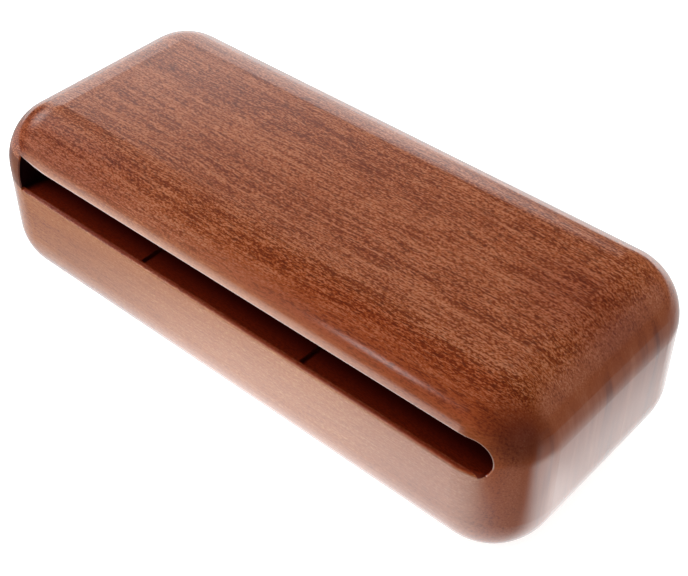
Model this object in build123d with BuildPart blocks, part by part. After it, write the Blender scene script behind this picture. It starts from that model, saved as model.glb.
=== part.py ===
# Woodblock: a hollow percussion block, glued up in layers from one hardwood billet.
# Millimetres. The origin is on the surface that the block stands on, under its middle.
# X runs along the length, the mouth of the chamber opens towards -Y, and Z is up.

import os

from build123d import *

# Billet
length = 203.0
width = 88.0
height = 60.0
edge_radius = 19.0  # round-over on all twelve edges

# Sound chamber
plate_thickness = 12.0  # wood above the chamber, where the stick strikes
cove_radius = 6.1  # round right end, tangent to the ceiling
cove_trim = 2.3  # height that the floor cuts off the round end
left_wall = 17.0  # wood left of the chamber's flat end
right_wall = 9.1  # least wood right of the chamber's round end
back_wall = 20.0
ceiling_rise = 1.1  # the ceiling slopes up towards the flat end
rise_length = 12.7
rim_chamfer = 0.4  # broken edge along the top and ends of the mouth
lip_radius = 1.3  # fuller rounding of its lower lip

# Grooves in the chamber's floor
groove_width = 1.8
groove_depth = 1.5
groove_spacing = 61.9
groove_setback = 0.2  # from the eased lip to the front of a groove

# Levels and faces that the pieces share
chamber_height = 2 * cove_radius - cove_trim
ceiling_level = height - plate_thickness
floor_level = ceiling_level - chamber_height
left_face = left_wall - length / 2
corner_level = ceiling_level + ceiling_rise
right_end = length / 2 - right_wall
cove_middle = right_end - cove_radius
back_face = width / 2 - back_wall
front_face = -width / 2

os.makedirs("parts", exist_ok=True)

# The whole block before any easing: a rounded billet with the chamber cut in from the front.
with BuildPart() as carved_block:
    Box(length, width, height, align=(Align.CENTER, Align.CENTER, Align.MIN))
    fillet(carved_block.edges(), edge_radius)
    with BuildSketch(Plane.XZ.offset(-back_face)):
        with BuildLine():
            Polyline(
                (cove_middle, floor_level),
                (left_face, floor_level),
                (left_face, corner_level),
                (left_face + rise_length, ceiling_level),
                (cove_middle, ceiling_level),
                close=True,
            )
        make_face()
        with Locations((cove_middle, ceiling_level - cove_radius)):
            Circle(cove_radius)
        with Locations((left_face, floor_level)):
            Rectangle(right_end - left_face, corner_level - floor_level, align=Align.MIN, mode=Mode.INTERSECT)
    extrude(amount=back_face - front_face, mode=Mode.SUBTRACT)


# The edges around the mouth lie on the rounded front, and the lowest of them are its lower lip.
def mouth_edges(block):
    edges = block.edges().filter_by_position(Axis.Y, front_face, front_face + edge_radius)
    edges = edges.filter_by_position(Axis.X, left_face, right_end)
    return edges.filter_by_position(Axis.Z, floor_level - lip_radius, corner_level + rim_chamfer)


with BuildPart() as eased_block:
    add(carved_block.part)
    mouth = mouth_edges(eased_block)
    rim = mouth - mouth.group_by(Axis.Z)[0]
    chamfer(rim.sort_by(Axis.X), rim_chamfer)

# Top layer, whose front edge is free to ring
with BuildPart() as striking_plate:
    add(eased_block.part)
    split(bisect_by=Plane.XY.offset(ceiling_level), keep=Keep.TOP)

# Lower layer, with the grooves in its top face
with BuildPart() as base_block:
    add(carved_block.part)
    lip = mouth_edges(base_block).group_by(Axis.Z)[0]
    fillet(lip.sort_by(Axis.X), lip_radius)
    split(bisect_by=Plane.XY.offset(floor_level), keep=Keep.BOTTOM)
    groove_front = front_face + lip_radius + groove_setback
    groove_length = back_face - groove_front
    with BuildSketch(Plane.XY.offset(floor_level)):
        with Locations((0, groove_front + groove_length / 2)):
            with GridLocations(groove_spacing, 0, 2, 1):
                Rectangle(groove_width, groove_length)
    extrude(amount=-groove_depth, mode=Mode.SUBTRACT)

# Middle layer: a rail along the back and a block at each end
with BuildPart() as chamber_frame:
    add(eased_block.part)
    split(bisect_by=Plane.XY.offset(ceiling_level), keep=Keep.BOTTOM)
    split(bisect_by=Plane.XY.offset(floor_level), keep=Keep.TOP)

with BuildPart() as back_rail:
    add(chamber_frame.part)
    split(bisect_by=Plane.XZ.offset(-back_face), keep=Keep.BOTTOM)

with BuildPart() as left_end_block:
    add(chamber_frame.part)
    split(bisect_by=Plane.XZ.offset(-back_face), keep=Keep.TOP)
    split(bisect_by=Plane.YZ, keep=Keep.BOTTOM)

with BuildPart() as right_end_block:
    add(chamber_frame.part)
    split(bisect_by=Plane.XZ.offset(-back_face), keep=Keep.TOP)
    split(bisect_by=Plane.YZ, keep=Keep.TOP)

striking_plate.part.label = "striking_plate"
export_step(striking_plate.part, "parts/striking_plate.step")

base_block.part.label = "base_block"
export_step(base_block.part, "parts/base_block.step")

back_rail.part.label = "back_rail"
export_step(back_rail.part, "parts/back_rail.step")

left_end_block.part.label = "left_end_block"
export_step(left_end_block.part, "parts/left_end_block.step")

right_end_block.part.label = "right_end_block"
export_step(right_end_block.part, "parts/right_end_block.step")
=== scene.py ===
import math

import bpy
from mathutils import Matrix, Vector

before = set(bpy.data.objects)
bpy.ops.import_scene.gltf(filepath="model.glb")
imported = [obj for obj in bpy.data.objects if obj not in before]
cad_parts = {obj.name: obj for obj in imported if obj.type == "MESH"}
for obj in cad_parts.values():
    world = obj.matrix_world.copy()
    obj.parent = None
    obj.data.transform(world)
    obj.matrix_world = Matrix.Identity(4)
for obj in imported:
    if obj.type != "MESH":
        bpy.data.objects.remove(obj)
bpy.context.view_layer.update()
scene = bpy.context.scene
scene.view_settings.view_transform = "Standard"
mm = 0.001
print("frame loaded:", ", ".join(sorted(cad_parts)))


def direction(azimuth, elevation):
    # azimuth 0 is the slot side (-Y), 90 is the round end of the slot (+X)
    a = math.radians(azimuth)
    e = math.radians(elevation)
    return Vector((math.sin(a) * math.cos(e), -math.cos(a) * math.cos(e), math.sin(e)))


def aim(thing, place, target):
    thing.location = place
    thing.rotation_euler = (target - place).to_track_quat("-Z", "Y").to_euler()


# Camera
cameraSet = {
    "azimuth": 41.362,
    "elevation": 41.846,
    "distance": 402.71 * mm,
    "target": Vector((9.77, -1.35, 24.36)) * mm,
    "lens": 71.119,
    "sensorWidth": 36.0,
    "clipStart": 10 * mm,
}
toCamera = direction(cameraSet["azimuth"], cameraSet["elevation"]) * cameraSet["distance"]

bpy.ops.object.select_all(action="DESELECT")
bpy.ops.object.camera_add()
camera = bpy.context.object
camera.name = "camera"
camera.data.sensor_fit = "HORIZONTAL"
camera.data.sensor_width = cameraSet["sensorWidth"]
camera.data.lens = cameraSet["lens"]
camera.data.clip_start = cameraSet["clipStart"]
aim(camera, cameraSet["target"] + toCamera, cameraSet["target"])
scene.camera = camera
print("camera placed")


# Small helpers for building shader trees
class ShaderTree:
    def __init__(self, tree):
        self.tree = tree
        self.tree.nodes.clear()

    def add(self, kind, **inputs):
        node = self.tree.nodes.new("ShaderNode" + kind)
        for name, value in inputs.items():
            self.put(node, name, value)
        return node

    def put(self, node, socket, value):
        target = node.inputs[socket]
        if isinstance(value, bpy.types.NodeSocket):
            self.tree.links.new(value, target)
        else:
            target.default_value = value

    def math(self, operation, a, b=0.0):
        node = self.tree.nodes.new("ShaderNodeMath")
        node.operation = operation
        self.put(node, 0, a)
        self.put(node, 1, b)
        return node.outputs[0]

    def product(self, first, *others):
        for other in others:
            first = self.math("MULTIPLY", first, other)
        return first

    def vector(self, operation, a, b):
        node = self.tree.nodes.new("ShaderNodeVectorMath")
        node.operation = operation
        self.put(node, 0, a)
        self.put(node, 1, b)
        return node.outputs["Value" if operation == "DOT_PRODUCT" else "Vector"]

    def ramp(self, value, low, high, fromZero=0.0, toOne=1.0):
        node = self.tree.nodes.new("ShaderNodeMapRange")
        node.interpolation_type = "SMOOTHSTEP"
        self.put(node, "Value", value)
        self.put(node, "From Min", low)
        self.put(node, "From Max", high)
        self.put(node, "To Min", fromZero)
        self.put(node, "To Max", toOne)
        return node.outputs["Result"]

    def mix(self, amount, a, b, blend="MIX"):
        node = self.tree.nodes.new("ShaderNodeMix")
        node.data_type = "RGBA"
        node.blend_type = blend
        self.put(node, 0, amount)
        self.put(node, 6, a)
        self.put(node, 7, b)
        return node.outputs[2]

    def noise(self, place, scale, detail, roughness):
        stretched = self.vector("MULTIPLY", place, scale)
        return self.add("TexNoise", Vector=stretched, Scale=1.0, Detail=detail, Roughness=roughness).outputs


def colour(red, green, blue):
    return (red, green, blue, 1.0)


# The chamber as it is in the CAD, in mm: its flat left end, back, floor and grooves, the middle and radius of
# its round right end, and the slope of its ceiling towards the left end
chamberSet = {
    "left": -84.5,
    "back": 24.0,
    "floor": 38.1,
    "grooveDepth": 1.5,
    "lipBack": -42.65,
    "round": (86.3, 41.9),
    "radius": 6.1,
    "slopeStart": -71.8,
    "slope": 0.087,
    # width in mm of the painted highlight along the broken edge of the mouth
    "rimHighlightWidth": 0.6,
    "slack": 0.05,
}
# Figure of the wood, which runs through all the layers. Scales are per mm, and the first is along the grain.
figureSet = {
    "waves": {"scale": (0.011, 0.035, 0.035), "detail": 2.0, "roughness": 0.5},
    "ribbon": {"scale": (0.0035, 0.21, 0.06), "detail": 1.0, "roughness": 0.4},
    "streak": {"scale": (0.05, 1.8, 1.3), "detail": 2.0, "roughness": 0.55},
    "fleck": {"scale": (1.10, 3.0, 2.6), "detail": 1.0, "roughness": 0.5},
    "pores": {"scale": (0.42, 2.7, 2.3), "detail": 1.0, "roughness": 0.5},
    "upright": {"scale": (0.1, 0.22, 0.012), "detail": 3.0, "roughness": 0.6},
    "waveReach": (0, 7, 7),
    "poreShift": (31, 17, 9),
    "streakShare": 0.42,
    "fleckShare": 0.58,
    "ribbonShare": 0.20,
    "uprightShare": 0.5,
    "middle": 0.62,
    "topContrast": 1.9,
    "leftContrast": 1.4,
    "frontContrast": 0.5,
    "backContrast": 1.1,
    "frontPores": 0.3,
    "leftPores": 0.75,
    "backPores": 0.8,
}
# Colours and finish. Tints from the corner shade to endGrain multiply the wood's own colour, and middles are
# in mm. The pale rim colour is a painted highlight; the corner shade, the darker front right end, the falloff
# shade, the lip and the inside colours are painted shade.
woodSet = {
    "dark": colour(0.180, 0.026, 0.003),
    "middle": colour(0.362, 0.081, 0.018),
    "pale": colour(0.540, 0.190, 0.085),
    "pore": colour(0.130, 0.021, 0.004),
    # a painted highlight on the rim of the mouth
    "rimHighlight": colour(0.500, 0.350, 0.290),
    # painted shade at the upper right corner of the front
    "cornerShade": colour(0.56, 0.47, 0.54),
    "frontLeft": colour(1.00, 1.25, 1.00),
    # painted shade towards the right end of the front
    "frontRightShade": colour(0.78, 0.88, 0.80),
    "redder": colour(0.97, 0.80, 0.74),
    # painted shade where less light falls
    "falloffShade": colour(0.82, 0.71, 0.70),
    "corner": colour(0.98, 0.94, 0.85),
    "endGrain": colour(0.82, 0.80, 0.80),
    # painted shade inside the chamber; the groove colour below is painted light against the grooves' own shade
    "insideMouth": colour(0.205, 0.018, 0.003),
    "insideDeep": colour(0.040, 0.0015, 0.001),
    "insideEnd": colour(0.010, 0.001, 0.001),
    "groove": colour(0.130, 0.014, 0.004),
    "poreShare": 0.9,
    "paleShare": 0.4,
    # share of painted shade on the lower lip
    "lipShadeShare": 0.75,
    "falloffShadeMiddle": (86, 5, 60),
    "falloffShadeFade": (0.038, 0.055, 0),
    "cornerShadeMiddle": (97.0, -35.0, 49.0),
    "cornerShadeFade": (0, 0.11, 0.11),
    "cornerShadeFadeRight": 0.10,
    "cornerShadeFadeLeft": 0.05,
    "roughness": 0.5,
    "poreRoughness": 0.15,
    "specular": 0.1,
    "coatRoughness": 0.12,
    "coatIor": 2.05,
    "bumpStrength": 0.5,
    "relief": 0.03 * mm,
    "coatRelief": 0.01 * mm,
}


def woodFigure(t, spot, axes, grainTurn, normal):
    # a number from dark to pale, the noise of the flecks, and the depth of the pores
    grain = t.add("VectorRotate", Vector=spot, Axis=(0, 0, 1), Angle=grainTurn).outputs[0]
    waves = t.vector("SUBTRACT", t.noise(grain, **figureSet["waves"])["Color"], (0.5, 0.5, 0.5))
    fibre = t.vector("ADD", grain, t.vector("MULTIPLY", waves, figureSet["waveReach"]))

    # broad ribbons, long streaks, short flecks, and fine dashes where pores are cut open
    ribbon = t.noise(fibre, **figureSet["ribbon"])["Fac"]
    streak = t.noise(fibre, **figureSet["streak"])["Fac"]
    fleck = t.noise(fibre, **figureSet["fleck"])["Fac"]
    pores = t.noise(t.vector("ADD", fibre, figureSet["poreShift"]), **figureSet["pores"])["Fac"]

    # the figure shows most on the flat top, less on its round left front edge, and least on the front
    left = t.product(t.ramp(axes[0], 25, -45), t.ramp(normal[2], 0.15, 0.45), t.ramp(normal[1], -0.97, -0.80))
    side = t.ramp(left, 0.0, 1.0, figureSet["frontContrast"], figureSet["leftContrast"])
    side = t.ramp(normal[1], -0.3, 0.3, side, figureSet["backContrast"])
    contrast = t.ramp(normal[2], 0.65, 0.99, side, figureSet["topContrast"])
    streak = t.math("MULTIPLY", streak, figureSet["streakShare"])
    fine = t.math("ADD", streak, t.math("MULTIPLY", fleck, figureSet["fleckShare"]))
    fine = t.math("MULTIPLY", t.math("SUBTRACT", fine, 0.5), contrast)
    broad = t.math("MULTIPLY", t.math("SUBTRACT", ribbon, 0.5), figureSet["ribbonShare"])
    figure = t.math("ADD", fine, broad)

    # on the two ends it runs up and down
    endwise = t.math("ABSOLUTE", normal[0])
    upright = t.math("SUBTRACT", t.noise(spot, **figureSet["upright"])["Fac"], 0.5)
    upright = t.math("MULTIPLY", upright, figureSet["uprightShare"])
    figure = t.add("Mix", Factor=t.ramp(endwise, 0.72, 0.98), A=figure, B=upright).outputs[0]

    # pores are deeper in dark ribbons, and shallow on the sides and ends
    shallow = t.ramp(left, 0.0, 1.0, figureSet["frontPores"], figureSet["leftPores"])
    shallow = t.ramp(normal[1], -0.3, 0.3, shallow, figureSet["backPores"])
    poreDepth = t.product(
        t.ramp(pores, 0.46, 0.37),
        t.ramp(ribbon, 0.62, 0.42, 0.6, 1.0),
        t.ramp(endwise, 0.8, 0.4),
        t.ramp(normal[2], 0.3, 0.95, shallow, 1.0),
    )
    return t.math("ADD", figure, figureSet["middle"]), fleck, poreDepth


def mouthGap(t, axes):
    # how far a point lies outside the outline of the mouth, seen from the front, in mm
    right = t.math("MAXIMUM", t.math("SUBTRACT", axes[0], chamberSet["round"][0]), 0.0)
    rise = t.math("SUBTRACT", axes[2], chamberSet["round"][1])
    reach = t.math("SQRT", t.math("ADD", t.math("MULTIPLY", right, right), t.math("MULTIPLY", rise, rise)))
    slope = t.math("MAXIMUM", t.math("SUBTRACT", chamberSet["slopeStart"], axes[0]), 0.0)
    slope = t.math("MULTIPLY", slope, chamberSet["slope"])
    above = t.math("SUBTRACT", t.math("SUBTRACT", reach, slope), chamberSet["radius"])
    return t.math("MAXIMUM", above, t.math("SUBTRACT", chamberSet["left"], axes[0]))


def chamberMask(t, axes, gap):
    # 1 on the walls, ceiling and floor of the chamber and in its grooves, 0 elsewhere
    behind = t.math("GREATER_THAN", axes[1], chamberSet["lipBack"])
    groove = t.math("MULTIPLY", behind, chamberSet["grooveDepth"] + 4 * chamberSet["slack"])
    level = t.math("ADD", axes[2], t.math("SUBTRACT", groove, 2 * chamberSet["slack"]))
    return t.product(
        t.math("LESS_THAN", gap, chamberSet["slack"]),
        t.math("LESS_THAN", axes[1], chamberSet["back"] + chamberSet["slack"]),
        t.math("GREATER_THAN", level, chamberSet["floor"] - chamberSet["slack"]),
    )


def lacqueredWood(name, grainTurn, shade, gloss):
    material = bpy.data.materials.new(name)
    material.use_nodes = True
    t = ShaderTree(material.node_tree)
    shader = t.add("BsdfPrincipled")
    t.put(shader, "Specular IOR Level", woodSet["specular"])
    t.put(shader, "Coat Roughness", woodSet["coatRoughness"])
    t.put(shader, "Coat IOR", woodSet["coatIor"])
    t.put(t.add("OutputMaterial"), 0, shader.outputs[0])

    # millimetres, with the grain along X
    place = t.add("TexCoord")
    spot = t.vector("MULTIPLY", place.outputs["Object"], (1000, 1000, 1000))
    axes = t.add("SeparateXYZ", Vector=spot).outputs
    normal = t.add("SeparateXYZ", Vector=place.outputs["Normal"]).outputs

    figure, fleck, poreDepth = woodFigure(t, spot, axes, grainTurn, normal)
    wood = t.mix(t.ramp(figure, 0.47, 0.62), woodSet["dark"], woodSet["middle"])
    wood = t.mix(t.ramp(figure, 0.60, 0.82), wood, woodSet["pale"])
    wood = t.mix(t.math("MULTIPLY", poreDepth, woodSet["poreShare"]), wood, woodSet["pore"])

    # cut across the fibres, the wood drinks more finish and turns darker
    cross = t.ramp(t.math("ABSOLUTE", normal[0]), 0.35, 0.9)
    wood = t.mix(cross, wood, woodSet["endGrain"], "MULTIPLY")
    # a tint over the whole part; on the left end block it is partly painted shade
    wood = t.mix(1.0, wood, shade, "MULTIPLY")

    # above the mouth the wood is paler, and less so towards the right
    gap = mouthGap(t, axes)
    fromLeft = t.ramp(axes[0], chamberSet["left"], chamberSet["left"] + 4.0)
    upper = t.product(t.ramp(axes[2], 40, 42), t.ramp(axes[1], -30, -37), fromLeft)
    near = t.ramp(gap, 7.0, 1.0, 0.0, woodSet["paleShare"])
    paler = t.product(upper, t.ramp(axes[0], 75, 20, 0.25, 1.0), near)
    wood = t.mix(paler, wood, woodSet["pale"])

    # the front is yellower, and painted shade darkens it towards its right end, where less light falls; the
    # upright corner there is a little browner
    front = t.mix(t.ramp(axes[0], 30, 80), woodSet["frontLeft"], woodSet["frontRightShade"])
    wood = t.mix(t.ramp(normal[1], -0.80, -0.98), wood, front, "MULTIPLY")
    corner = t.product(
        t.ramp(normal[0], 0.15, 0.55), t.ramp(normal[0], 0.75, 0.58), t.ramp(normal[1], -0.3, -0.6)
    )
    wood = t.mix(corner, wood, woodSet["corner"], "MULTIPLY")

    # the round edge above the mouth is redder towards its right end; painted shade darkens and reddens it
    # towards its left end, and the top at its right end, where less light falls
    above = t.math("MULTIPLY", t.ramp(normal[1], -0.15, -0.4), t.ramp(normal[2], 0.35, 0.6))
    redder = t.math("MULTIPLY", above, t.ramp(axes[0], -20, 50))
    wood = t.mix(redder, wood, woodSet["redder"], "MULTIPLY")
    patch = t.vector("MULTIPLY", t.vector("SUBTRACT", spot, woodSet["falloffShadeMiddle"]), woodSet["falloffShadeFade"])
    patch = t.ramp(t.math("SQRT", t.vector("DOT_PRODUCT", patch, patch)), 1.0, 0.3)
    patch = t.math("MULTIPLY", patch, t.ramp(normal[2], 0.3, 0.7))
    falloffShade = t.math("MAXIMUM", patch, t.math("MULTIPLY", above, t.ramp(axes[0], -20, -65)))
    wood = t.mix(falloffShade, wood, woodSet["falloffShade"], "MULTIPLY")

    # painted shade at the upper right corner of the front, which faces away from the lamps, running out to the
    # left along the mouth
    right = t.math("SUBTRACT", axes[0], woodSet["cornerShadeMiddle"][0])
    toRight = t.math("MULTIPLY", right, woodSet["cornerShadeFadeRight"])
    along = t.math("MAXIMUM", toRight, t.math("MULTIPLY", right, -woodSet["cornerShadeFadeLeft"]))
    cornerShadeSpot = t.vector("MULTIPLY", t.vector("SUBTRACT", spot, woodSet["cornerShadeMiddle"]), woodSet["cornerShadeFade"])
    cornerShadeSpot = t.math("ADD", t.vector("DOT_PRODUCT", cornerShadeSpot, cornerShadeSpot), t.math("MULTIPLY", along, along))
    wood = t.mix(t.ramp(t.math("SQRT", cornerShadeSpot), 1.1, 0.2), wood, woodSet["cornerShade"], "MULTIPLY")

    # a pale rim along the broken edge above the mouth is a painted highlight
    rimHighlight = t.math("MULTIPLY", upper, t.ramp(gap, chamberSet["rimHighlightWidth"], 0.5 * chamberSet["rimHighlightWidth"]))
    wood = t.mix(rimHighlight, wood, woodSet["rimHighlight"])
    # painted shade: the lower lip, turning up under the overhang of the mouth, takes the colour of the chamber
    # floor
    lip = t.product(
        t.math("LESS_THAN", gap, 0.0),
        t.ramp(axes[2], chamberSet["floor"] - 0.7, chamberSet["floor"] - 0.2),
        t.math("LESS_THAN", axes[2], chamberSet["floor"] + chamberSet["slack"]),
        t.math("LESS_THAN", axes[1], chamberSet["lipBack"]),
        woodSet["lipShadeShare"],
    )
    wood = t.mix(lip, wood, woodSet["insideMouth"])

    # inside the chamber the wood is unlacquered; its colour is painted shade, darker a few mm behind the mouth
    # and darkest at the left end, and the grooves get one flat colour, lighter than the deep chamber, painted
    # light against their own shade
    inside = chamberMask(t, axes, gap)
    insideShade = t.mix(t.ramp(axes[1], -42.5, -35.0), woodSet["insideMouth"], woodSet["insideDeep"])
    insideShade = t.mix(t.ramp(fleck, 0.35, 0.65, 0.5, 0.0), insideShade, woodSet["insideDeep"])
    fromEnd = t.ramp(axes[0], chamberSet["left"] + 0.2, chamberSet["left"] + 4.5, 1.0, 0.0)
    insideShade = t.mix(fromEnd, insideShade, woodSet["insideEnd"])
    sunk = t.ramp(axes[2], chamberSet["floor"] - chamberSet["slack"], chamberSet["floor"] - 0.3)
    insideShade = t.mix(sunk, insideShade, woodSet["groove"])
    wood = t.mix(inside, wood, insideShade)
    t.put(shader, "Base Color", wood)
    t.put(shader, "Coat Weight", t.math("MULTIPLY", t.math("SUBTRACT", 1.0, inside), gloss))

    dull = t.math("MULTIPLY", poreDepth, woodSet["poreRoughness"])
    t.put(shader, "Roughness", t.math("ADD", woodSet["roughness"], dull))
    relief = t.math("SUBTRACT", fleck, t.math("MULTIPLY", poreDepth, 0.5))
    for socket, depth in (("Normal", woodSet["relief"]), ("Coat Normal", woodSet["coatRelief"])):
        bump = t.add("Bump", Strength=woodSet["bumpStrength"], Distance=depth, Height=relief)
        t.put(shader, socket, bump.outputs[0])
    return material


hardwood = lacqueredWood("lacquered_hardwood_finish", 0.0, colour(1, 1, 1), 1.0)
# the left end block is darkened partly for the end grain it shows at the front, partly by painted shade on its
# strip beside the mouth
endBlockWood = lacqueredWood("end_block_finish", math.radians(90), colour(0.42, 0.34, 0.32), 0.4)

finishSet = {
    "striking_plate": hardwood,
    "base_block": hardwood,
    "back_rail": hardwood,
    "right_end_block": hardwood,
    "left_end_block": endBlockWood,
}
for node, finish in finishSet.items():
    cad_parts[node].data.materials.clear()
    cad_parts[node].data.materials.append(finish)
print("wood finished")


# Floor: a pale sheet that the camera sees as white, apart from the shadow. In reflections it glows most
# along the foot of the block and far out in front on the left. Reaches are in mm.
floorSet = {
    "size": 6.0,
    "drop": 0.2 * mm,
    "albedo": 0.8,
    "lift": 0.74,
    "frontSlant": 5.0,
    "frontReach": (-230, -20),
    "frontGlow": (0.4, 1.0),
    "farReach": (-240, -520),
    "farRight": 0.27,
    "farLeft": 1.4,
    "farGlow": 0.8,
    "endReach": (110, 160),
    "endGlow": (0.62, 0.26),
    "backReach": (20, 60),
    "backGlow": (0.4, 0.9),
}

bpy.ops.object.select_all(action="DESELECT")
bpy.ops.mesh.primitive_plane_add(size=floorSet["size"], location=(0, 0, -floorSet["drop"]))
floor = bpy.context.object
floor.name = "floor"

paper = bpy.data.materials.new("floor_paper")
paper.use_nodes = True
t = ShaderTree(paper.node_tree)
spot = t.vector("MULTIPLY", t.add("TexCoord").outputs["Object"], (1000, 1000, 1000))
axes = t.add("SeparateXYZ", Vector=spot).outputs
# along the front foot, dimmer towards the left and away from the block
slant = t.math("MULTIPLY", t.math("ADD", axes[1], 50.0), floorSet["frontSlant"])
front = t.ramp(t.math("ADD", axes[0], slant), *floorSet["frontReach"], *floorSet["frontGlow"])
# far front, between 15 and 55 degrees to the left
far = t.ramp(axes[1], *floorSet["farReach"], 0.0, floorSet["farGlow"])
fromRight = t.math("SUBTRACT", axes[0], t.math("MULTIPLY", axes[1], floorSet["farRight"]))
fromLeft = t.math("SUBTRACT", axes[0], t.math("MULTIPLY", axes[1], floorSet["farLeft"]))
far = t.product(far, t.ramp(fromRight, 80, -80), t.ramp(fromLeft, -90, 90, 0.3, 1.0))
# along the right end, gone at the front corner
end = t.product(
    t.ramp(axes[0], *floorSet["endReach"], *floorSet["endGlow"]),
    t.ramp(axes[0], 146, 300, 1.0, 0.25),
    t.ramp(axes[1], -15, 60, 1.25, 1.0),
    t.ramp(axes[1], -38, -22),
)
back = t.ramp(axes[1], *floorSet["backReach"], *floorSet["backGlow"])
sheet = t.mix(t.ramp(axes[1], -22, -30), back, front)
sheet = t.mix(t.ramp(axes[0], 80, 114), sheet, end)
sheet = t.math("ADD", sheet, far)

rays = t.add("LightPath")
matt = t.add("BsdfDiffuse", Color=colour(floorSet["albedo"], floorSet["albedo"], floorSet["albedo"]))
seen = t.add("Emission", Strength=t.math("MULTIPLY", rays.outputs["Is Camera Ray"], floorSet["lift"]))
mirrored = t.add("Emission", Strength=sheet)
both = t.add("AddShader")
t.put(both, 0, matt.outputs[0])
t.put(both, 1, seen.outputs[0])
choice = t.add("MixShader", Fac=rays.outputs["Is Glossy Ray"])
t.put(choice, 1, both.outputs[0])
t.put(choice, 2, mirrored.outputs[0])
t.put(t.add("OutputMaterial"), 0, choice.outputs[0])
floor.data.materials.append(paper)

# World: white to the camera, a dim room to the object and nearly dark in reflections
worldSet = {"room": 0.23, "mirrored": 0.01, "white": 1.0}
world = bpy.data.worlds.new("studio")
scene.world = world
world.use_nodes = True
t = ShaderTree(world.node_tree)
rays = t.add("LightPath")
direct = t.math("MULTIPLY", rays.outputs["Is Camera Ray"], worldSet["white"] - worldSet["room"])
glossy = t.math("MULTIPLY", rays.outputs["Is Glossy Ray"], worldSet["mirrored"] - worldSet["room"])
level = t.math("ADD", t.math("ADD", direct, glossy), worldSet["room"])
studio = t.add("Background", Color=colour(1, 1, 1), Strength=level)
t.put(t.add("OutputWorld"), 0, studio.outputs[0])

# Soft lamps, sized in metres. Those with a middle, in mm, lie on the table top and face up. Radiance is what a
# mirror would show in the middle of the lamp, and soft is the share of its size over which it fades at each
# edge. Wash and bounce lamps stay out of reflections, and cards and panels show only in them.
lampSet = {
    "key_wash": {"azimuth": -43, "elevation": 15, "distance": 0.52, "size": (0.4, 0.3), "radiance": 5.9},
    "top_wash": {"azimuth": -160, "elevation": 55, "distance": 0.7, "size": (0.5, 0.5), "radiance": 3.3},
    "right_wash": {"azimuth": 150, "elevation": 30, "distance": 0.8, "size": (0.4, 0.4), "radiance": 4.2},
    "corner_wash": {"azimuth": 70, "elevation": 8, "distance": 0.6, "size": (0.3, 0.2), "radiance": 2.0},
    "front_bounce": {"middle": (120, -170, 0.5), "size": (0.3, 0.25), "radiance": 0.65},
    "back_card": {
        "azimuth": -134, "elevation": 15.5, "distance": 1.2,
        "size": (1.4, 1.03), "radiance": 1.08, "soft": (0.28, 0.28),
    },
    "back_panel": {"middle": (-350, 800, 0.5), "size": (1.4, 1.4), "radiance": 0.5, "soft": (0.2, 0.2)},
    "haze_card": {
        "azimuth": -98, "elevation": 38, "distance": 1.2,
        "size": (3.2, 1.1), "radiance": 0.17, "soft": (0.5, 0.5),
    },
    "left_card": {
        "azimuth": -88, "elevation": 32, "distance": 1.2,
        "size": (0.95, 0.8), "radiance": 1.15, "soft": (0.5, 0.5),
    },
    "front_card": {
        "azimuth": -29, "elevation": 2, "distance": 0.42,
        "size": (0.5, 0.12), "radiance": 1.25, "soft": (0.35, 0.35),
    },
    "streak_card": {
        "azimuth": -25.4, "elevation": 26.2, "distance": 1.02,
        "size": (0.13, 0.165), "radiance": 1.9, "soft": (0.32, 0.45),
    },
    "right_card": {
        "azimuth": 130, "elevation": 18, "distance": 1.2,
        "size": (1.6, 1.0), "radiance": 0.13, "soft": (0.4, 0.4),
    },
    "front_panel": {"middle": (30, -50, 1.0), "size": (0.26, 0.056), "radiance": 0.55, "soft": (0.4, 0.4)},
    "end_panel": {"middle": (105, 22, 0.5), "size": (0.038, 0.13), "radiance": 0.75, "soft": (0.42, 0.15)},
    "corner_panel": {"middle": (124, -15, 1.5), "size": (0.06, 0.046), "radiance": 0.75, "soft": (0.5, 0.4)},
}
blockMiddle = Vector((0, 0, 30 * mm))

for name, lamp in lampSet.items():
    bpy.ops.object.select_all(action="DESELECT")
    bpy.ops.object.light_add(type="AREA")
    light = bpy.context.object
    light.name = name
    light.data.shape = "RECTANGLE"
    light.data.size, light.data.size_y = lamp["size"]
    light.data.energy = lamp["radiance"] * math.pi * lamp["size"][0] * lamp["size"][1]
    light.visible_camera = False
    light.visible_glossy = "soft" in lamp
    light.visible_diffuse = "soft" not in lamp
    if "middle" in lamp:
        light.location = [place * mm for place in lamp["middle"]]
        light.rotation_euler = (math.pi, 0, 0)
    else:
        toLamp = direction(lamp["azimuth"], lamp["elevation"]) * lamp["distance"]
        aim(light, blockMiddle + toLamp, blockMiddle)
    if "soft" in lamp:
        light.data.use_nodes = True
        t = ShaderTree(light.data.node_tree)
        across = t.add("SeparateXYZ", Vector=t.add("NewGeometry").outputs["Parametric"]).outputs
        fade = 1.0
        for axis, soft in enumerate(lamp["soft"]):
            fade = t.product(fade, t.ramp(across[axis], 0.0, soft), t.ramp(across[axis], 1.0, 1.0 - soft))
        shine = t.add("Emission", Strength=fade)
        t.put(t.add("OutputLight"), 0, shine.outputs[0])
print("studio lit")
